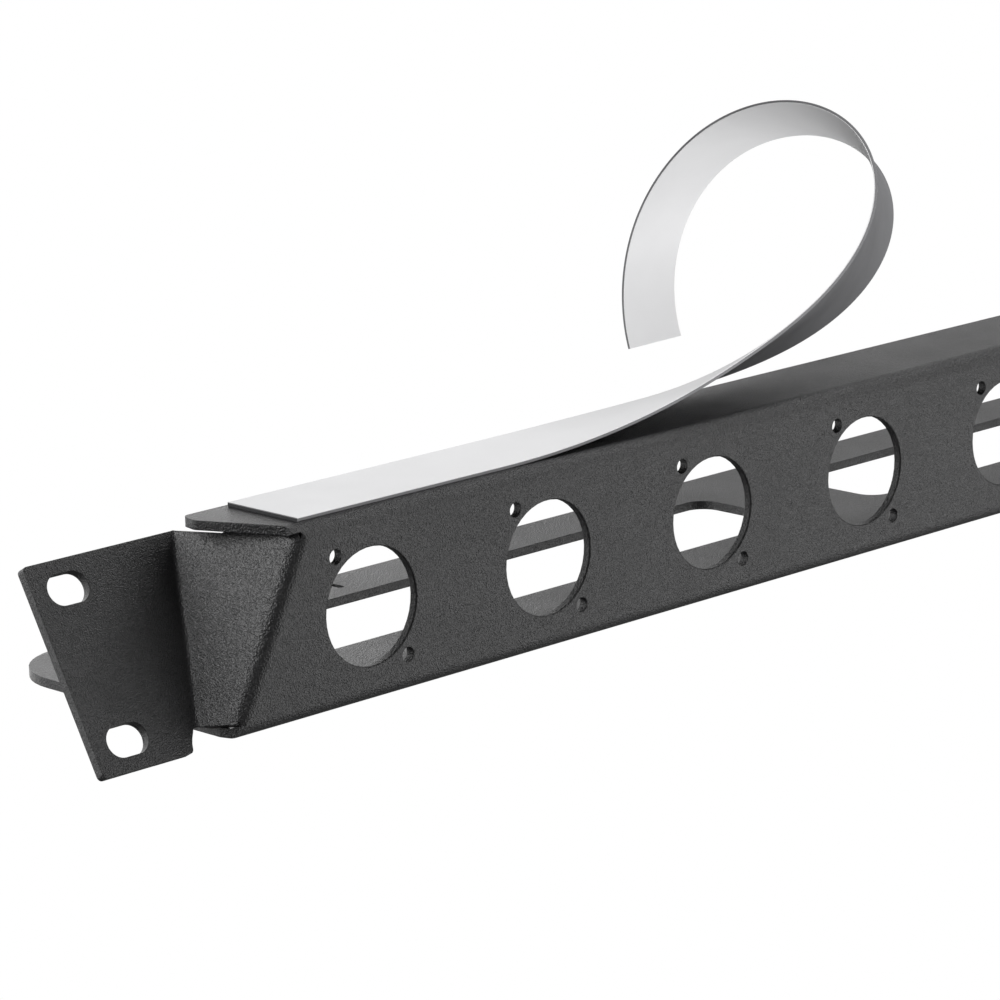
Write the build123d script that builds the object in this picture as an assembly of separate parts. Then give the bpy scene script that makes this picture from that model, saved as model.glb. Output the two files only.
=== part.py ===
from build123d import *
import math
import os

# Angled patch panel, one rack unit high, with a magnetic label strip peeling off its top.
# Frame: origin in the middle of the rack slots on the rear face of the ears,
# +X to the right seen from the front, +Y into the rack, +Z up. Millimetres.

# Sheet
sheet_t = 2.0
bend_r_in = 1.5
bend_r_out = bend_r_in + sheet_t
fold_r_in = 1.3
fold_r_out = fold_r_in + sheet_t

# Ears, the flat ends that lie on the rack posts
panel_w = 482.6
ear_w = 31.4            # out to the end from the fold at mid height
ear_h = 44.0
slot_inset = 8.75       # rack slots in from the ends
slot_pitch_z = 31.75
slot_w = 10.0
slot_h = 6.5
ear_corner_r = 1.0
ear_fold_x = panel_w / 2 - ear_w
ear_fold_lean = 0.3185  # how far the fold runs inwards per mm of height
notch_z = -17.3         # relief below the side web
notch_w = 1.7
notch_flare = 1.3
notch_r = 1.6

# Slanted channel that carries the connectors
tilt = 30.0
row_y = -19.1           # outer face at the row of holes
row_z = -6.4
face_h = 39.8
flange_depth = 24.8
plate_depth = 74.7
web_run = 5.9           # inwards from the ear fold to the face fold at the row of holes
face_end_x = ear_fold_x - web_run

# Connector cut-outs, the usual 24 mm round D pattern with two screw holes
hole_count = 8
row_margin = 27.6       # from the face fold in to the last cut-out
hole_pitch = 2 * (face_end_x - row_margin) / (hole_count - 1)
hole_d = 24.5
hole_edge = 0.25
screw_d = 3.2
screw_gap = 3.055       # from the rim of the cut-out to the screw's middle
screw_angle = 38.37     # off the slant of the face
screw_reach = hole_d / 2 + screw_gap
screw_dx = screw_reach * math.sin(math.radians(screw_angle))
screw_dy = screw_reach * math.cos(math.radians(screw_angle))

# Ends of the top flange and of the bottom plate, from the face fold at the row of holes
flange_end_x = face_end_x - 7.7
flange_end_depth = 2.7
flange_tip_x = face_end_x + 0.8
flange_tip_depth = flange_depth - 4.5
flange_back_x = face_end_x - 0.1
flange_tip_r = 2.0
plate_front_x = face_end_x + 7.5
plate_end_x = face_end_x + 8.9
plate_front_depth = 1.5
plate_front_r = 2.0
plate_corner_r = 16.0

# Openings in the bottom plate
window_front = 30.1
rear_bar = 14.6         # bar left behind the openings
window_rear = plate_depth - rear_bar
window_end_x = plate_end_x - 22.9
strut_half = 13.7
window_r = 5.0
tie_slot_x = plate_end_x - 88.9
tie_slot_l = 4.1
tie_slot_w = 1.8

# Relief slots that let the webs fold apart from the bends above and below them
top_relief_w = 1.0
top_relief_x = face_end_x - 10.0
top_relief_angle = 31.0
low_relief_w = 1.4
low_relief_x = face_end_x + 7.3
low_relief_angle = 10.7

# Label strip along the top flange, stuck down at its left end and peeled off the rest:
# a magnetic backing with a writable film on top
strip_w = 20.5
strip_back_gap = 0.85   # from the strip to the flange's rear edge
strip_depth = flange_depth - strip_back_gap - strip_w / 2
strip_left_x = face_end_x - 11.4
stuck_length = 57.6     # still flat on the flange
peel_x = strip_left_x - stuck_length
peel_length = 317.6
backing_t = 0.6
film_t = 0.2

# Peeled, the strip stays as long and as flat across as it was, so it is laid out by how much
# it curls and twists for each mm of its length, at these shares of the peeled length
curl = [0.0019, 0.0023, 0.0138, 0.0148, 0.0264]
curl_at = [0, 0.25, 0.5, 0.75, 1]
twist = [0.0, -0.0105, -0.0134, -0.0108, 0.0020]
twist_at = [0, 0.2, 0.5, 0.8, 1]
stations = 120
steps_per_station = 2

half_h = face_h / 2
ear_front = -sheet_t
reach = 900.0
touch = 0.01
slant = math.radians(tilt)
face_frame = Plane(
    origin=(0, row_y, row_z),
    x_dir=(1, 0, 0),
    z_dir=(0, -math.cos(slant), -math.sin(slant)),
)


def beyond(plane):
    """Everything on the normal side of a plane."""
    return extrude(plane * Rectangle(reach, reach), reach)


def on_face(x, s, depth=0.0):
    """Point in the part's frame from a place on the slanted face and a depth behind it."""
    return face_frame.from_local_coords(Vector(x, s, -depth))


def meets(point, plane):
    """Where the line along X through a point meets a plane of the side web."""
    step = (plane.origin - point).dot(plane.z_dir) / plane.z_dir.X
    return point + Vector(step, 0, 0)


# Side web: a flat sheet through the ear fold and the end of the face
fold_mid = Vector(-ear_fold_x, ear_front, 0)
fold_dir = Vector(ear_fold_lean, 0, 1).normalized()
web_normal = (on_face(-face_end_x, 0) - fold_mid).cross(fold_dir).normalized()
web_outer = Plane(origin=fold_mid, x_dir=fold_dir, z_dir=web_normal)
web_inner = web_outer.offset(-sheet_t)
face_fold_dir = web_normal.cross(face_frame.z_dir).normalized()


def facing(point, first, second, toward):
    """Plane through a point and along two directions, facing the given way."""
    normal = first.cross(second).normalized()
    if normal.dot(toward) < 0:
        normal = -normal
    return Plane(origin=point, x_dir=first, z_dir=normal)


def bar(half, front, back, radius):
    """Solid bar along X with a rounded front, in the frame of the face."""
    outline = make_face(Polyline((half, -back), (half, -front), (-half, -front), (-half, -back), close=True))
    nose = [v for v in outline.vertices() if abs(v.Y + front) < touch]
    return extrude(Plane.YZ * fillet(nose, radius), panel_w / 2, both=True)


def across_bend(side, angle):
    """Plane through the axis of the top (1) or bottom (-1) bend, facing away from the face."""
    lean = math.radians(angle)
    return Plane(
        origin=(0, side * (half_h - bend_r_out), -bend_r_out),
        x_dir=(1, 0, 0),
        z_dir=(0, side * math.cos(lean), -math.sin(lean)),
    )


def relief(cut, width, end_x):
    """Slot through the sheet of a bend, from its rounded end outwards past the part."""
    radial = cut.x_dir.cross(cut.z_dir)
    if radial.Z < 0:
        radial = -radial
    length = panel_w
    seat = Plane(origin=cut.origin + radial * (bend_r_in / 2), x_dir=(1, 0, 0), z_dir=radial)
    return extrude(seat * Pos(-end_x - length / 2, 0) * SlotOverall(length, width), bend_r_out)


def level(s):
    """Plane across the channel at height s over the row of holes, x along X, y to the rear."""
    return Plane(origin=(0, s, 0), x_dir=(1, 0, 0), z_dir=(0, 1, 0))


def flange_outline():
    """Plan of the left half of the top flange, seen along the face."""
    outline = make_face(Polyline(
        (0, -sheet_t),
        (-flange_end_x, -sheet_t),
        (-flange_end_x, flange_end_depth),
        (-flange_tip_x, flange_tip_depth),
        (-flange_back_x, flange_depth),
        (0, flange_depth),
        close=True,
    ))
    tip = [v for v in outline.vertices() if v.X < -flange_end_x - touch]
    return fillet(tip, flange_tip_r)


def plate_outline():
    """Plan of the left half of the bottom plate."""
    outline = make_face(Polyline(
        (0, -sheet_t),
        (-plate_front_x, -sheet_t),
        (-plate_front_x, plate_front_depth),
        (-plate_end_x, plate_front_depth + 2 * plate_front_r),
        (-plate_end_x, plate_depth),
        (0, plate_depth),
        close=True,
    ))
    rear = [v for v in outline.vertices() if v.X < -touch and v.Y > plate_depth - touch]
    outline = fillet(rear, plate_corner_r)
    front = [v for v in outline.vertices() if v.X < -touch and 0 < v.Y < plate_depth / 2]
    return fillet(front, plate_front_r)


def window():
    """Opening of the left half of the bottom plate."""
    width = window_end_x - strut_half
    middle = (-(window_end_x + strut_half) / 2, (window_front + window_rear) / 2)
    return Pos(*middle) * RectangleRounded(width, window_rear - window_front, window_r)


def tie_slot():
    """Slot for a cable tie in the bar behind the opening."""
    middle = (-tie_slot_x, (window_rear + plate_depth) / 2)
    return Pos(*middle) * Rot(0, 0, 90) * SlotOverall(tie_slot_l, tie_slot_w)


def channel(top_cut, low_cut):
    """Left half of the channel: face, top flange and bottom plate with their bends."""
    shell = bar(half_h, 0, plate_depth, bend_r_out)
    shell -= bar(half_h - sheet_t, sheet_t, plate_depth + sheet_t, bend_r_in)
    flange = shell & beyond(top_cut) & extrude(level(0) * flange_outline(), face_h)
    plate = shell & beyond(low_cut) & extrude(level(0) * plate_outline(), -face_h)
    plate -= extrude(level(0) * (window() + tie_slot()), -face_h)
    face = shell - beyond(top_cut) - beyond(low_cut)
    face = face_frame.location * face
    face -= beyond(web_outer.offset(-fold_r_out))
    return face + face_frame.location * (flange + plate)


def edges_on(solid, point, line):
    """Edges of a solid that lie on a line."""
    return [
        e for e in solid.edges()
        if all((p - point).cross(line).length < touch for p in (e @ 0, e @ 1))
    ]


def behind(web_plane, inset, ear_fold_r, face_fold_r):
    """Everything behind the ear, the web and the face, with both folds rounded."""
    below = 1.5 * sheet_t
    room = Pos(-ear_fold_x, 0, -below / 2) * Box(panel_w / 4, panel_w / 4, ear_h + below)
    solid = room - beyond(web_plane) - beyond(face_frame.offset(-inset))
    solid += room - beyond(Plane(origin=(0, ear_front + inset, 0), z_dir=(0, -1, 0)))
    ear_line = meets(Vector(0, ear_front + inset, 0), web_plane)
    face_line = meets(on_face(0, 0, inset), web_plane)
    solid = fillet(edges_on(solid, ear_line, fold_dir), ear_fold_r)
    return fillet(edges_on(solid, face_line, face_fold_dir), face_fold_r)


def ear_outline(low_x):
    """Front view of the left ear, run on past its fold, with the notch below the web."""
    outline = make_face(Polyline(
        (-panel_w / 2, -ear_h / 2),
        (-panel_w / 2, ear_h / 2),
        (0, ear_h / 2),
        (0, notch_z),
        (low_x - notch_w, notch_z),
        (low_x - notch_w - notch_flare, -ear_h / 2),
        close=True,
    ))
    corners = [v for v in outline.vertices() if v.X < -panel_w / 2 + touch]
    outline = fillet(corners, ear_corner_r)
    corners = [v for v in outline.vertices() if low_x - notch_w - notch_flare - touch < v.X < low_x]
    return fillet(corners, notch_r)


def at_face(cut, offset):
    """Point of the web's outer face where a plane across a bend, moved by an offset, meets it."""
    moved = cut.offset(offset)
    s = moved.origin.Y + moved.origin.Z * moved.z_dir.Z / moved.z_dir.Y
    return meets(on_face(0, s), web_outer)


def side(top_cut, low_cut, top_slot, low_slot):
    """Ear and side web with both folds, and the strip of face along the fold."""
    up = Vector(0, 0, 1)
    left = Vector(-1, 0, 0)
    sheet = behind(web_outer, 0, fold_r_in, fold_r_out) - behind(web_inner, sheet_t, fold_r_out, fold_r_in)
    sheet = sheet & beyond(web_outer.offset(-fold_r_out))
    bend_start = face_frame.location * level(half_h - bend_r_out)
    sheet -= beyond(bend_start) - face_frame.location * bar(half_h, 0, 3 * plate_depth, bend_r_out)

    top_edge = face_frame.location * top_cut.offset(-top_relief_w / 2)
    top_front = at_face(top_cut, -top_relief_w / 2)
    top_ear = fold_mid + fold_dir * (ear_h / 2 / fold_dir.Z)
    over_web = beyond(facing(top_front, top_ear - top_front, web_normal, up))
    past_slot = beyond(Plane(origin=(-top_relief_x - top_relief_w / 2, 0, 0), z_dir=left))
    sheet -= over_web & beyond(top_edge) & past_slot
    sheet -= (over_web & beyond(face_frame.location * top_cut)) - past_slot
    sheet -= face_frame.location * top_slot - past_slot

    low_edge = face_frame.location * low_cut.offset(-low_relief_w / 2)
    low_front = at_face(low_cut, -low_relief_w / 2)
    low_ear = fold_mid + fold_dir * (notch_z / fold_dir.Z)
    under_web = facing(low_front, low_ear - low_front, web_normal, -up)
    face_limit = facing(low_front, low_edge.z_dir.cross(under_web.z_dir), face_fold_dir, -left)
    ear_limit = facing(low_ear, up.cross(under_web.z_dir), fold_dir, left)
    past_slot = beyond(Plane(origin=(-low_relief_x - low_relief_w / 2, 0, 0), z_dir=left))
    sheet -= beyond(low_edge) & beyond(face_limit) & past_slot
    sheet -= (beyond(face_frame.location * low_cut) & beyond(face_limit)) - past_slot
    sheet -= face_frame.location * low_slot - past_slot
    sheet -= beyond(under_web) - beyond(ear_limit)

    ear_plane = Plane(origin=(0, ear_front, 0), x_dir=(1, 0, 0), z_dir=(0, -1, 0))
    sheet -= beyond(ear_limit) - extrude(ear_plane * ear_outline(low_ear.X), 3 * sheet_t, both=True)
    for end in (-1, 1):
        place = Pos(slot_inset - panel_w / 2, end * slot_pitch_z / 2)
        sheet -= extrude(ear_plane * place * SlotOverall(slot_w, slot_h), 2 * sheet_t, both=True)
    return sheet


def left_half():
    top_cut = across_bend(1, top_relief_angle)
    low_cut = across_bend(-1, low_relief_angle)
    top_slot = relief(top_cut, top_relief_w, top_relief_x)
    low_slot = relief(low_cut, low_relief_w, low_relief_x)
    middle = channel(top_cut, low_cut) - face_frame.location * (top_slot + low_slot)
    keep_left = Pos(-reach / 2, 0, 0) * Box(reach, reach, reach)
    return (middle & keep_left) + side(top_cut, low_cut, top_slot, low_slot)


def connector_holes():
    """Round cut-outs with their screw holes, along the row, in the frame of the face."""
    tools = []
    for n in range(hole_count):
        x = (n - (hole_count - 1) / 2) * hole_pitch
        tools.append(Pos(x, 0, 0) * Cylinder(hole_d / 2, 6 * sheet_t))
        for end in (-1, 1):
            tools.append(Pos(x + end * screw_dx, -end * screw_dy, 0) * Cylinder(screw_d / 2, 6 * sheet_t))
    return tools


def folded_panel():
    half = left_half()
    panel = half + mirror(half, about=Plane.YZ)
    panel -= [face_frame.location * tool for tool in connector_holes()]
    rims = [
        e for e in panel.edges().filter_by(GeomType.CIRCLE)
        if abs(e.radius - hole_d / 2) < touch
    ]
    return chamfer(rims, hole_edge)


def blend(values, places, t):
    """Value at t on a line through the given values at the given places."""
    for n in range(len(places) - 1):
        if t <= places[n + 1]:
            part = (t - places[n]) / (places[n + 1] - places[n])
            return values[n] + part * (values[n + 1] - values[n])
    return values[-1]


def strip_frames():
    """Middle, width direction and upward normal of the strip, station by station."""
    middle = Vector(-peel_x, half_h + backing_t, -strip_depth)
    along = Vector(1, 0, 0)
    across = Vector(0, 0, -1)
    up = Vector(0, 1, 0)
    frames = [(middle - along * (strip_left_x - peel_x), across, up), (middle, across, up)]
    total = stations * steps_per_station
    step = peel_length / total
    for n in range(total):
        t = (n + 0.5) / total
        turned = (along + up * (step * blend(curl, curl_at, t))).normalized()
        across = across + up * (step * blend(twist, twist_at, t))
        across = (across - turned * across.dot(turned)).normalized()
        middle = middle + (along + turned) * (step / 2)
        along = turned
        up = along.cross(across)
        if (n + 1) % steps_per_station == 0:
            frames.append((middle, across, up))
    return frames


def ring(frame, low, high):
    """Corners of the strip's section at a station, between two heights over its seam."""
    middle, across, up = frame
    side_step = across * (strip_w / 2)
    return [
        middle + side_step + up * low,
        middle - side_step + up * low,
        middle - side_step + up * high,
        middle + side_step + up * high,
    ]


def strip_layer(low, high):
    """Solid of the strip between two heights over the seam of backing and film.

    A twisted band has no flat quarters, so each step between two stations is laid out in
    triangles, split the same way on every layer so that the layers meet without a gap."""
    rings = [ring(frame, low, high) for frame in strip_frames()]
    faces = [Face(Wire.make_polygon(rings[0])), Face(Wire.make_polygon(rings[-1]))]
    for here, there in zip(rings, rings[1:]):
        for a, b in ((0, 1), (3, 2), (0, 3), (1, 2)):
            faces.append(Face(Wire.make_polygon([here[a], here[b], there[b]])))
            faces.append(Face(Wire.make_polygon([here[a], there[b], there[a]])))
    return face_frame.location * Solid(Shell(faces))


def save(shape, name):
    shape.label = name
    export_step(shape, f"parts/{name}.step")


os.makedirs("parts", exist_ok=True)
save(folded_panel(), "folded_panel")
save(strip_layer(-backing_t, 0), "magnetic_backing")
save(strip_layer(0, film_t), "label_face")
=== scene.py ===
import math

import bpy
from mathutils import Matrix, Vector


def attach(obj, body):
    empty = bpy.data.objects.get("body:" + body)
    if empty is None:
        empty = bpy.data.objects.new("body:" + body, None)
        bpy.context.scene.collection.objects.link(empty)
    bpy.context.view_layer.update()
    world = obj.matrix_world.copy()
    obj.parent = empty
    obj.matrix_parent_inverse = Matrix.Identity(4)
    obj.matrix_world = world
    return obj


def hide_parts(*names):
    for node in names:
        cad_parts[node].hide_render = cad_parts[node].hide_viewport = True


bl_info = {
    "name": "Angled patch panel",
    "version": (1, 0, 0),
    "blender": (4, 5, 0),
    "location": "View3D > Sidebar > Patch Panel",
    "description": "Finishes, label strip, lights and camera for an angled one-unit rack patch panel",
    "category": "Object",
}

MM = 0.001

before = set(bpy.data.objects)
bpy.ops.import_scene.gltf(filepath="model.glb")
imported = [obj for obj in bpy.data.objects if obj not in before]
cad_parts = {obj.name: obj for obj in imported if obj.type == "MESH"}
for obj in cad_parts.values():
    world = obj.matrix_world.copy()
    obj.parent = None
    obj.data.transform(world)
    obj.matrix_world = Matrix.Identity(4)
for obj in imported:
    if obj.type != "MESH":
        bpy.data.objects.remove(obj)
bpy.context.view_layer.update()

# The slanted channel in the rack frame, as the CAD part has it: how far its face leans from
# upright, the middle of the row of cut-outs on the face's front, and half the face's height.
TILT = math.radians(30)
ROW_Y = -19.1 * MM
ROW_Z = -6.4 * MM
FACE_HALF = 19.9 * MM

# The label strip: how far its middle lies behind the face, where its left end is and where it
# lifts off the flange, and the rounding of its long edges.
STRIP_W = 20.5 * MM
STRIP_DEPTH = 13.7 * MM
STRIP_LEFT_X = -192.6 * MM
PEEL_X = -135.0 * MM
PEEL_LENGTH = 312.3 * MM
BACKING_T = 0.6 * MM
FILM_T = 0.2 * MM
EDGE_EASE = 0.08 * MM

# Curl upwards and twist about its length, in radians per millimetre, at distances in mm from
# where the strip lifts off. Between two knots they run straight.
CURL = ((0, 0.0019), (78.7, 0.0021), (157.4, 0.0142), (236.0, 0.0152), (314.7, 0.0267))
TWIST = ((0, 0.0), (62.9, -0.0102), (157.4, -0.0137), (251.8, -0.0109), (314.7, 0.0026))

# Edges of the strip that turn by more than this are shaded as sharp ones.
CREASE = math.radians(30)

# The ears are flat sheet with their rear at Y = 0. The corner pieces stand proud of it by SKIN,
# so that the two surfaces never share a plane.
EAR_T = 2.0 * MM
SKIN = 0.01 * MM

# Outline of the ear's lower inner corner, X from the middle and Z in mm. CORNER_EDGE is the free
# edge from the ear's foot round to the notch. The other points lie on the sheet of the ear.
CORNER_EDGE = (
    (219.3, -22.01), (218.85, -21.92), (218.5, -21.62), (218.33, -21.2),
    (218.05, -20.2), (217.5, -19.1), (216.85, -18.1), (216.45, -17.4),
)
CORNER_FRONT = ((225.8, -22.01), *CORNER_EDGE, (216.4, -17.1), (225.8, -17.1))
CORNER_REAR = (
    (227.3, -22.01), *CORNER_EDGE, (215.95, -15.9), (215.85, -15.6), (227.5, -15.6),
    (227.62, -16.5), (227.84, -17.2), (228.0, -17.6),
)

# The camera of the photograph: place, the way it looks as angles, lens and sensor width in mm.
CAMERA_AT = Vector((-752.0, -666.65, -118.7)) * MM
CAMERA_AZIMUTH = math.radians(43.72)
CAMERA_RISE = math.radians(8.05)
CAMERA_ROLL = math.radians(22.14)
CAMERA_LENS = 157.85
SENSOR_W = 36.0
CLIP_START = 10 * MM

# Softboxes: name, direction from LIGHT_AIM, distance and side in metres, share of light power.
LIGHT_AIM = Vector((-0.1, 0.0, 0.0))
STEEL_SOFTBOXES = (
    ("softbox_left", (-0.79, 0.03, 0.61), 1.1, 0.8, 1.65),
    ("softbox_right", (0.68, -0.44, -0.6), 1.1, 0.9, 0.73),
    ("softbox_front", (0.68, -0.72, 0.2), 1.3, 1.0, 0.78),
    ("softbox_back", (0.68, 0.48, 0.55), 1.1, 0.7, 0.1),
    ("softbox_rear_left", (-0.68, 0.72, 0.14), 1.3, 0.8, 0.5),
    ("softbox_behind", (0.25, 0.85, 0.6), 1.2, 1.2, 0.8),
    ("softbox_bend", (0.68, -0.25, 0.69), 1.2, 0.4, 0.3),
)
STRIP_SOFTBOXES = (
    ("strip_front", (0.1, -0.93, 0.35), 1.2, 1.4, 0.92),
    ("strip_top", (-0.1, -0.35, 0.93), 1.2, 1.2, 1.05),
    ("strip_right", (0.75, -0.65, -0.1), 1.2, 1.2, 1.1),
    ("strip_below", (-0.42, 0.2, -0.88), 1.2, 1.2, 2.6),
)


def linear(hex_colour):
    """An sRGB hex colour as the linear RGBA that shader sockets take."""
    out = []
    for n in (1, 3, 5):
        c = int(hex_colour[n:n + 2], 16) / 255
        out.append(c / 12.92 if c <= 0.04045 else ((c + 0.055) / 1.055) ** 2.4)
    return (*out, 1.0)


def add_node(tree, kind, place, inputs=None, **settings):
    """A shader node with its settings, its input values and its links in."""
    node = tree.nodes.new(kind)
    node.location = place
    for key, value in settings.items():
        setattr(node, key, value)
    for key, value in (inputs or {}).items():
        if isinstance(value, bpy.types.NodeSocket):
            tree.links.new(value, node.inputs[key])
        else:
            node.inputs[key].default_value = value
    return node


def new_material(name):
    """A material with nothing in it but its output, and the coordinates that patterns lie in."""
    material = bpy.data.materials.new(name)
    material.use_nodes = True
    tree = material.node_tree
    tree.nodes.clear()
    out = add_node(tree, "ShaderNodeOutputMaterial", (900, 0))
    where = add_node(tree, "ShaderNodeTexCoord", (-1150, 0)).outputs["Object"]
    return material, tree, out, where


def scale_for(size_mm):
    """Texture scale at which features are about size_mm across."""
    return 1 / (size_mm * MM)


def powder_coat(low, high):
    """Black textured powder coat: a leathery skin of fine pebbles that catch the light."""
    material, tree, out, where = new_material("black_textured_powder_coat")
    # Pebbles of 0.34 mm lie on ripples of 0.8 mm. Their gloss changes a little over 16 mm.
    pebbles = add_node(
        tree, "ShaderNodeTexNoise", (-900, 0),
        {"Vector": where, "Scale": scale_for(0.34), "Detail": 1.5, "Roughness": 0.55})
    ripples = add_node(
        tree, "ShaderNodeTexNoise", (-900, -300),
        {"Vector": where, "Scale": scale_for(0.8), "Detail": 1.0})
    cloud = add_node(
        tree, "ShaderNodeTexNoise", (-900, -600),
        {"Vector": where, "Scale": scale_for(16.0)})
    height = add_node(
        tree, "ShaderNodeMath", (-600, -100),
        {0: ripples.outputs["Fac"], 1: 0.35, 2: pebbles.outputs["Fac"]}, operation="MULTIPLY_ADD")
    tone = add_node(
        tree, "ShaderNodeMapRange", (-600, 200),
        {"Value": pebbles.outputs["Fac"], "From Min": 0.35, "From Max": 0.65})
    colour = add_node(
        tree, "ShaderNodeMix", (-150, 200),
        {"Factor": tone.outputs["Result"], "A": (*low, 1), "B": (*high, 1)}, data_type="RGBA")
    gloss = add_node(
        tree, "ShaderNodeMapRange", (-600, -400),
        {"Value": cloud.outputs["Fac"], "From Min": 0.3, "From Max": 0.7,
         "To Min": 0.34, "To Max": 0.4})
    # Coat runs round the sheet's sheared edges in a radius of about 0.3 mm.
    edge = add_node(tree, "ShaderNodeBevel", (-600, -700), {"Radius": 0.3 * MM}, samples=6)
    bump = add_node(
        tree, "ShaderNodeBump", (-150, -250),
        {"Height": height.outputs["Value"], "Strength": 1.0, "Distance": 0.26 * MM,
         "Normal": edge.outputs["Normal"]})
    shader = add_node(
        tree, "ShaderNodeBsdfPrincipled", (500, 0),
        {"Base Color": colour.outputs["Result"], "Roughness": gloss.outputs["Result"],
         "Normal": bump.outputs["Normal"], "IOR": 1.5})
    tree.links.new(shader.outputs["BSDF"], out.inputs["Surface"])
    return material


def matt_sheet(name, low, high, cloud_mm, grain_mm, grain_depth_mm, grain_strength, roughness):
    """Thin matt sheet with faint clouds of tone and a fine grain."""
    material, tree, out, where = new_material(name)
    grain = add_node(
        tree, "ShaderNodeTexNoise", (-700, 0), {"Vector": where, "Scale": scale_for(grain_mm)})
    cloud = add_node(
        tree, "ShaderNodeTexNoise", (-700, -300), {"Vector": where, "Scale": scale_for(cloud_mm)})
    tone = add_node(
        tree, "ShaderNodeMapRange", (-400, 150),
        {"Value": cloud.outputs["Fac"], "From Min": 0.3, "From Max": 0.7})
    colour = add_node(
        tree, "ShaderNodeMix", (-150, 200),
        {"Factor": tone.outputs["Result"], "A": (*low, 1), "B": (*high, 1)}, data_type="RGBA")
    bump = add_node(
        tree, "ShaderNodeBump", (-150, -250),
        {"Height": grain.outputs["Fac"], "Strength": grain_strength,
         "Distance": grain_depth_mm * MM})
    shader = add_node(
        tree, "ShaderNodeBsdfPrincipled", (500, 0),
        {"Base Color": colour.outputs["Result"], "Roughness": roughness,
         "Normal": bump.outputs["Normal"]})
    tree.links.new(shader.outputs["BSDF"], out.inputs["Surface"])
    return material


def magnetic_rubber(low, high):
    """Calendered magnetic rubber: dull dark grey that hardly shines, with a faint grain."""
    # The real grain is too fine to show, so it is drawn at 0.5 mm.
    return matt_sheet(
        "magnetic_rubber", low, high, cloud_mm=9.0,
        grain_mm=0.5, grain_depth_mm=0.03, grain_strength=0.2, roughness=0.6)


def label_film(low, high):
    """Satin coated plastic film to write on: even off-white that spreads the light softly."""
    # The real grain is too fine to show, so it is drawn at 0.4 mm.
    return matt_sheet(
        "satin_white_label_film", low, high, cloud_mm=22.0,
        grain_mm=0.4, grain_depth_mm=0.02, grain_strength=0.1, roughness=0.75)


def on_channel(x, height, depth):
    """Rack-frame point of a place on the channel: X, height up the slanted face, depth behind it."""
    return Vector((
        x,
        ROW_Y - height * math.sin(TILT) + depth * math.cos(TILT),
        ROW_Z + height * math.cos(TILT) + depth * math.sin(TILT),
    ))


def channel_axes():
    """X, the way up the slanted face and the way back from it."""
    origin = on_channel(0, 0, 0)
    return (
        Vector((1, 0, 0)),
        on_channel(0, 1, 0) - origin,
        on_channel(0, 0, 1) - origin,
    )


def along_knots(knots, distance):
    """Value at a distance on the line through (distance, value) knots."""
    for (d0, v0), (d1, v1) in zip(knots, knots[1:]):
        if distance <= d1:
            return v0 + (v1 - v0) * (distance - d0) / (d1 - d0)
    return knots[-1][1]


def strip_frames(peeled, steps):
    """Middle, width direction and upward normal along the strip, flat part first."""
    along, up, across = channel_axes()
    middle = on_channel(PEEL_X, FACE_HALF + BACKING_T, STRIP_DEPTH)
    flat = PEEL_X - STRIP_LEFT_X
    frames = [(middle - along * flat, across, up), (middle, across, up)]
    step = peeled / steps
    for n in range(steps):
        distance = (n + 0.5) * step / MM
        turned = (along + up * (step / MM * along_knots(CURL, distance))).normalized()
        across = across + up * (step / MM * along_knots(TWIST, distance))
        across = (across - turned * across.dot(turned)).normalized()
        middle = middle + (along + turned) * (step / 2)
        along = turned
        up = along.cross(across)
        frames.append((middle, across, up))
    return frames


def add_object(name, data):
    """A new object in the scene."""
    obj = bpy.data.objects.new(name, data)
    bpy.context.scene.collection.objects.link(obj)
    return obj


def add_piece(name, verts, faces, material):
    """A new mesh object with one material."""
    mesh = bpy.data.meshes.new(name)
    mesh.from_pydata(verts, [], faces)
    mesh.validate()
    mesh.materials.append(material)
    return add_object(name, mesh)


def strip_layer(name, low, high, strip, material):
    """One layer of the strip, between two heights over the backing's top, closed all round."""
    half = strip.width / 2
    ease = min(EDGE_EASE, (high - low) / 3)
    ring = (
        (-half + ease, low), (half - ease, low), (half, low + ease), (half, high - ease),
        (half - ease, high), (-half + ease, high), (-half, high - ease), (-half, low + ease),
    )
    verts = []
    faces = []
    count = len(ring)
    frames = strip_frames(strip.peeled, strip.steps)
    for middle, across, up in frames:
        verts.extend(middle + across * a + up * b for a, b in ring)
    for row in range(len(frames) - 1):
        for n in range(count):
            here = row * count + n
            beside = row * count + (n + 1) % count
            faces.append((here, here + count, beside + count, beside))
    faces.append(tuple(range(count)))
    faces.append(tuple(reversed(range((len(frames) - 1) * count, len(frames) * count))))
    layer = add_piece(name, verts, faces, material)
    for polygon in layer.data.polygons:
        polygon.use_smooth = True
    layer.data.set_sharp_from_angle(angle=CREASE)
    return layer


def ear_corner(name, side, material):
    """Sheet at an ear's lower inner corner, beside the notch under the web; side is -1 or 1."""
    verts = [Vector((side * x * MM, -EAR_T - SKIN, z * MM)) for x, z in CORNER_FRONT]
    verts += [Vector((side * x * MM, SKIN, z * MM)) for x, z in CORNER_REAR]
    rear = len(CORNER_FRONT)
    faces = [tuple(range(rear)), tuple(reversed(range(rear, rear + len(CORNER_REAR))))]
    faces += [(n + 1, n, rear + n, rear + n + 1) for n in range(len(CORNER_EDGE))]
    if side > 0:
        faces = [face[::-1] for face in faces]
    return add_piece(name, verts, faces, material)


def softbox(name, towards, distance, size, power):
    """Square soft light that stands in a direction from the aim point and looks at it."""
    data = bpy.data.lights.new(name, "AREA")
    data.shape = "SQUARE"
    data.size = size
    data.energy = power
    light = add_object(name, data)
    direction = Vector(towards).normalized()
    light.location = LIGHT_AIM + direction * distance
    light.rotation_euler = (-direction).to_track_quat("-Z", "Y").to_euler()
    return light


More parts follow.
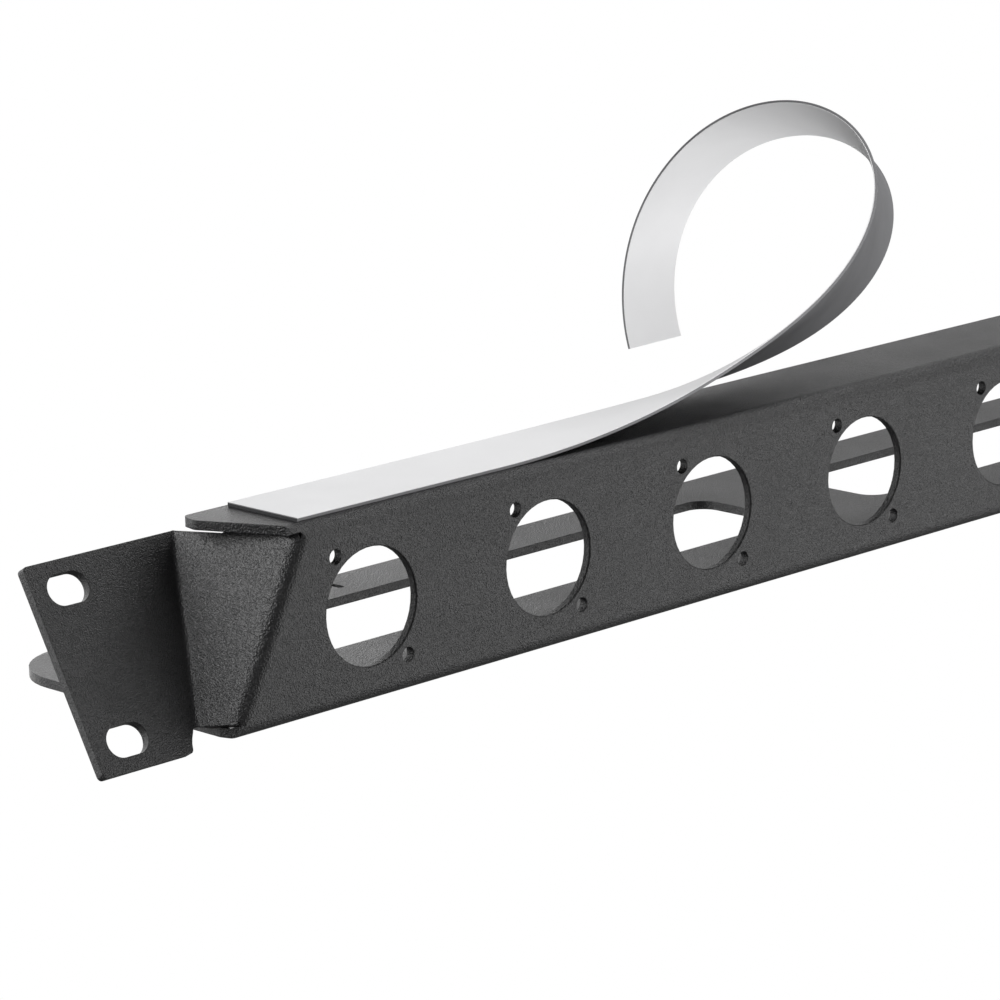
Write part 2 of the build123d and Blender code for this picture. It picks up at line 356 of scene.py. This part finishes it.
def light_only(softboxes, power, name, members):
    """Sets up softboxes that light the named objects alone, as flags do in a studio."""
    lit = bpy.data.collections.new(name)
    for member in members:
        lit.objects.link(bpy.data.objects[member])
    for *place, share in softboxes:
        light = softbox(*place, power * share)
        light.light_linking.receiver_collection = lit


def white_world(fill):
    """White to the camera, a soft even fill for everything else."""
    world = bpy.data.worlds.new("white_studio")
    world.use_nodes = True
    tree = world.node_tree
    tree.nodes.clear()
    white = linear("#ffffff")
    out = add_node(tree, "ShaderNodeOutputWorld", (400, 0))
    path = add_node(tree, "ShaderNodeLightPath", (-400, 200))
    seen = add_node(tree, "ShaderNodeBackground", (-100, -100), {"Color": white, "Strength": 1.0})
    rest = add_node(tree, "ShaderNodeBackground", (-100, 50), {"Color": white, "Strength": fill})
    mix = add_node(
        tree, "ShaderNodeMixShader", (150, 0),
        {0: path.outputs["Is Camera Ray"], 1: rest.outputs["Background"],
         2: seen.outputs["Background"]})
    tree.links.new(mix.outputs["Shader"], out.inputs["Surface"])
    bpy.context.scene.world = world


def photo_camera():
    """The photograph's camera: aimed by azimuth and rise, then rolled about its own axis."""
    data = bpy.data.cameras.new("photo_camera")
    data.lens = CAMERA_LENS
    data.sensor_width = SENSOR_W
    data.clip_start = CLIP_START
    camera = add_object("photo_camera", data)
    flat = math.cos(CAMERA_RISE)
    look = Vector((
        math.sin(CAMERA_AZIMUTH) * flat,
        math.cos(CAMERA_AZIMUTH) * flat,
        math.sin(CAMERA_RISE),
    ))
    aim = look.to_track_quat("-Z", "Y").to_matrix().to_4x4()
    roll = Matrix.Rotation(-CAMERA_ROLL, 4, "Z")
    camera.rotation_mode = "QUATERNION"
    camera.rotation_quaternion = (aim @ roll).to_quaternion()
    camera.location = CAMERA_AT
    bpy.context.scene.camera = camera


def colour_setting(name, description, hex_colour):
    """A colour property with an sRGB hex default."""
    return bpy.props.FloatVectorProperty(
        name=name, description=description, default=linear(hex_colour)[:3],
        subtype="COLOR", size=3, min=0.0, max=1.0)


class PatchPanelFinishes(bpy.types.PropertyGroup):
    """Colours of the three finishes"""

    coat_low: colour_setting(
        "Coat, hollows", "Colour between the pebbles of the powder coat", "#171718")
    coat_high: colour_setting(
        "Coat, pebbles", "Colour on the pebbles of the powder coat", "#242425")
    rubber_low: colour_setting(
        "Rubber, darker", "Darker tone of the magnetic backing", "#707072")
    rubber_high: colour_setting(
        "Rubber, lighter", "Lighter tone of the magnetic backing", "#777779")
    film_low: colour_setting(
        "Film, darker", "Darker tone of the writable film", "#dcdcdd")
    film_high: colour_setting(
        "Film, lighter", "Lighter tone of the writable film", "#e2e2e3")


class PatchPanelStrip(bpy.types.PropertyGroup):
    """Size of the label strip"""

    width: bpy.props.FloatProperty(
        name="Strip width", description="Width of the label strip",
        default=STRIP_W, min=0.005, max=0.03, unit="LENGTH")
    peeled: bpy.props.FloatProperty(
        name="Peeled length", description="Length of the strip that has come off the flange",
        default=PEEL_LENGTH, min=0.05, max=0.4, unit="LENGTH")
    steps: bpy.props.IntProperty(
        name="Strip steps", description="Rows of the peeled label strip",
        default=240, min=40, max=800)


class PatchPanelStage(bpy.types.PropertyGroup):
    """Strength of the lights"""

    world_fill: bpy.props.FloatProperty(
        name="World fill", description="Strength of the soft fill light",
        default=0.14, min=0.0, max=3.0)
    key_power: bpy.props.FloatProperty(
        name="Light power", description="Power that all softboxes take their shares of",
        default=9.0, min=0.0, max=200.0, unit="POWER")


class PATCHPANEL_OT_panel(bpy.types.Operator):
    """Gives the folded steel panel its powder coat"""

    bl_idname = "patchpanel.panel"
    bl_label = "Finish folded panel"

    def execute(self, context):
        finishes = context.scene.patch_panel_finishes
        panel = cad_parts["folded_panel"]
        panel.data.materials.clear()
        panel.data.materials.append(powder_coat(finishes.coat_low, finishes.coat_high))
        return {"FINISHED"}


class PATCHPANEL_OT_ear_corners(bpy.types.Operator):
    """Fills out the lower inner corner of each ear"""

    bl_idname = "patchpanel.ear_corners"
    bl_label = "Build ear corners"

    def execute(self, context):
        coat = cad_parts["folded_panel"].data.materials[0]
        for name, side in (("ear_corner_left", -1), ("ear_corner_right", 1)):
            corner = ear_corner(name, side, coat)
            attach(corner, "root")
        return {"FINISHED"}


class PATCHPANEL_OT_strip(bpy.types.Operator):
    """Builds the peeled magnetic label strip in two layers"""

    bl_idname = "patchpanel.strip"
    bl_label = "Build label strip"

    def execute(self, context):
        finishes = context.scene.patch_panel_finishes
        strip = context.scene.patch_panel_strip
        rubber = magnetic_rubber(finishes.rubber_low, finishes.rubber_high)
        white = label_film(finishes.film_low, finishes.film_high)
        backing = strip_layer("strip_backing", -BACKING_T, 0, strip, rubber)
        film = strip_layer("strip_film", 0, FILM_T, strip, white)
        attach(backing, "root")
        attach(film, "root")
        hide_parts("magnetic_backing")
        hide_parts("label_face")
        return {"FINISHED"}


class PATCHPANEL_OT_stage(bpy.types.Operator):
    """Adds the white surroundings, the lights and the photograph's camera"""

    bl_idname = "patchpanel.stage"
    bl_label = "Set stage"

    def execute(self, context):
        stage = context.scene.patch_panel_stage
        steel = ("ear_corner_left", "ear_corner_right", "folded_panel")
        strip = ("strip_backing", "strip_film")
        white_world(stage.world_fill)
        light_only(STEEL_SOFTBOXES, stage.key_power, "folded_steel", steel)
        light_only(STRIP_SOFTBOXES, stage.key_power, "label_strip", strip)
        photo_camera()
        context.scene.view_settings.view_transform = "Standard"
        return {"FINISHED"}


class PATCHPANEL_PT_sidebar(bpy.types.Panel):
    """Buttons and settings of the patch panel"""

    bl_label = "Patch Panel"
    bl_idname = "PATCHPANEL_PT_sidebar"
    bl_space_type = "VIEW_3D"
    bl_region_type = "UI"
    bl_category = "Patch Panel"

    def draw(self, context):
        scene = context.scene
        groups = (scene.patch_panel_finishes, scene.patch_panel_strip, scene.patch_panel_stage)
        for settings in groups:
            box = self.layout.box()
            for key in settings.__annotations__:
                box.prop(settings, key)
        for operator in OPERATORS:
            self.layout.operator(operator.bl_idname)


OPERATORS = (
    PATCHPANEL_OT_panel,
    PATCHPANEL_OT_ear_corners,
    PATCHPANEL_OT_strip,
    PATCHPANEL_OT_stage,
)

CLASSES = (
    PatchPanelFinishes,
    PatchPanelStrip,
    PatchPanelStage,
    *OPERATORS,
    PATCHPANEL_PT_sidebar,
)


def register():
    for cls in CLASSES:
        bpy.utils.register_class(cls)
    bpy.types.Scene.patch_panel_finishes = bpy.props.PointerProperty(type=PatchPanelFinishes)
    bpy.types.Scene.patch_panel_strip = bpy.props.PointerProperty(type=PatchPanelStrip)
    bpy.types.Scene.patch_panel_stage = bpy.props.PointerProperty(type=PatchPanelStage)


def unregister():
    del bpy.types.Scene.patch_panel_stage
    del bpy.types.Scene.patch_panel_strip
    del bpy.types.Scene.patch_panel_finishes
    for cls in reversed(CLASSES):
        bpy.utils.unregister_class(cls)


def main():
    register()
    bpy.ops.patchpanel.panel()
    bpy.ops.patchpanel.ear_corners()
    bpy.ops.patchpanel.strip()
    bpy.ops.patchpanel.stage()


if __name__ == "__main__":
    main()
